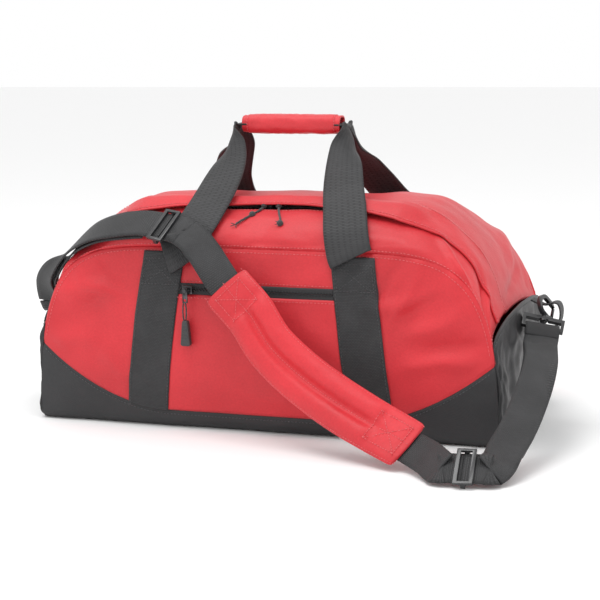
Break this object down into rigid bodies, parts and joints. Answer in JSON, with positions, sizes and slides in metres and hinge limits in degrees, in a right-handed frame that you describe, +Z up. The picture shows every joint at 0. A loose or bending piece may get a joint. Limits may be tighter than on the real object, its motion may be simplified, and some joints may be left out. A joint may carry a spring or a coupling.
{
  "type": "sports duffel bag",
  "caption": "Soft red and black sports duffel with wrapped carry handle, arched main zip under a flap, front zip pocket and clip-on padded shoulder strap.",
  "frame": {"origin": "middle of the bottom face, which rests on the floor", "axes": "+X along the bag towards the end where the shoulder strap leaves, +Y from the pocket face to the back, +Z up"},
  "size_m": [0.6564, 0.438, 0.3525],
  "materials": {
    "red_cloth": "coated woven polyester, slightly shiny",
    "black_cloth": "coated woven polyester, slightly shiny",
    "board": "plain sheet",
    "zip_tape": "woven tape",
    "zip_coil": "coiled nylon",
    "slider_metal": "black enamel",
    "cord": "braided cord",
    "pull_rubber": "moulded",
    "wrap_cloth": "woven cloth with bound edges",
    "black_plastic": "moulded, glossy",
    "gate_plastic": "moulded",
    "webbing": "ribbed polypropylene webbing"
  },
  "bodies": {
    "bag": {"front_panel": "red_cloth", "back_panel": "red_cloth", "top_front_panel": "red_cloth", "top_rear_panel": "red_cloth", "left_end_panel": "black_cloth", "right_end_panel": "black_cloth", "front_base_trim": "black_cloth", "back_base_trim": "black_cloth", "bottom_panel": "black_cloth", "base_board": "board", "zip_flap": "red_cloth", "main_zip_front_tape": "zip_tape", "main_zip_rear_tape": "zip_tape", "main_zip_coil": "zip_coil", "pocket_panel": "red_cloth", "pocket_zip_lower_tape": "zip_tape", "pocket_zip_upper_tape": "zip_tape", "pocket_zip_coil": "zip_coil", "front_left_webbing": "webbing", "front_right_webbing": "webbing", "back_left_webbing": "webbing", "back_right_webbing": "webbing", "front_handle_loop": "webbing", "rear_handle_loop": "webbing", "left_loop": "webbing", "right_loop": "webbing", "left_hook": "black_plastic", "right_hook": "black_plastic", "left_strap_eye": "black_plastic", "right_strap_eye": "black_plastic", "shoulder_strap": "webbing", "strap_return": "webbing", "strap_pad": "red_cloth"},
    "carry_handle": {"grip_wrap": "wrap_cloth"},
    "left_main_slider": {"main_slider_left": "slider_metal", "pull_cord_left": "cord"},
    "right_main_slider": {"main_slider_right": "slider_metal", "pull_cord_right": "cord"},
    "pocket_zip_slider": {"pocket_slider": "slider_metal"},
    "pocket_puller": {"pocket_pull_link": "pull_rubber", "pocket_pull_cord": "cord", "pocket_pull_grip": "pull_rubber"},
    "left_gate": {"left_hook_gate": "gate_plastic"},
    "right_gate": {"right_hook_gate": "gate_plastic"},
    "left_strap_glide": {"left_glide": "black_plastic"},
    "right_strap_glide": {"right_glide": "black_plastic"}
  },
  "joints": [
    {"name": "handle_drop", "type": "slide", "parent": "bag", "child": "carry_handle", "axis": [0, 0, -1], "range_m": [0, 0.028], "deforming": ["front_handle_loop", "rear_handle_loop"]},
    {"name": "left_slider_run", "type": "slide", "parent": "bag", "child": "left_main_slider", "axis": [-1, 0, 0], "range_m": [0, 0.095]},
    {"name": "right_slider_run", "type": "slide", "parent": "bag", "child": "right_main_slider", "axis": [1, 0, 0], "range_m": [0, 0.095]},
    {"name": "pocket_slider_run", "type": "slide", "parent": "bag", "child": "pocket_zip_slider", "axis": [1, 0, 0], "range_m": [0, 0.15]},
    {"name": "pocket_puller_swing", "type": "hinge", "parent": "pocket_zip_slider", "child": "pocket_puller", "pos_m": [-0.08, -0.14804, 0.163], "axis": [0, 1, 0], "range_deg": [-50, 50]},
    {"name": "left_gate_open", "type": "hinge", "parent": "bag", "child": "left_gate", "pos_m": [-0.30572, -0.00026, 0.12396], "axis": [-0.9135, -0.2614, 0.3116], "range_deg": [-25, 0], "stiffness_Nm_per_rad": 0.02},
    {"name": "right_gate_open", "type": "hinge", "parent": "bag", "child": "right_gate", "pos_m": [0.30572, -0.00026, 0.12396], "axis": [-0.9135, 0.2614, -0.3116], "range_deg": [-25, 0], "stiffness_Nm_per_rad": 0.02},
    {"name": "left_glide_shift", "type": "slide", "parent": "bag", "child": "left_strap_glide", "axis": [0.9706, -0.211, -0.1161], "range_m": [-0.01, 0]},
    {"name": "right_glide_shift", "type": "slide", "parent": "bag", "child": "right_strap_glide", "axis": [0.9961, 0.0865, 0.0157], "range_m": [-0.004, 0.001]}
  ]
}
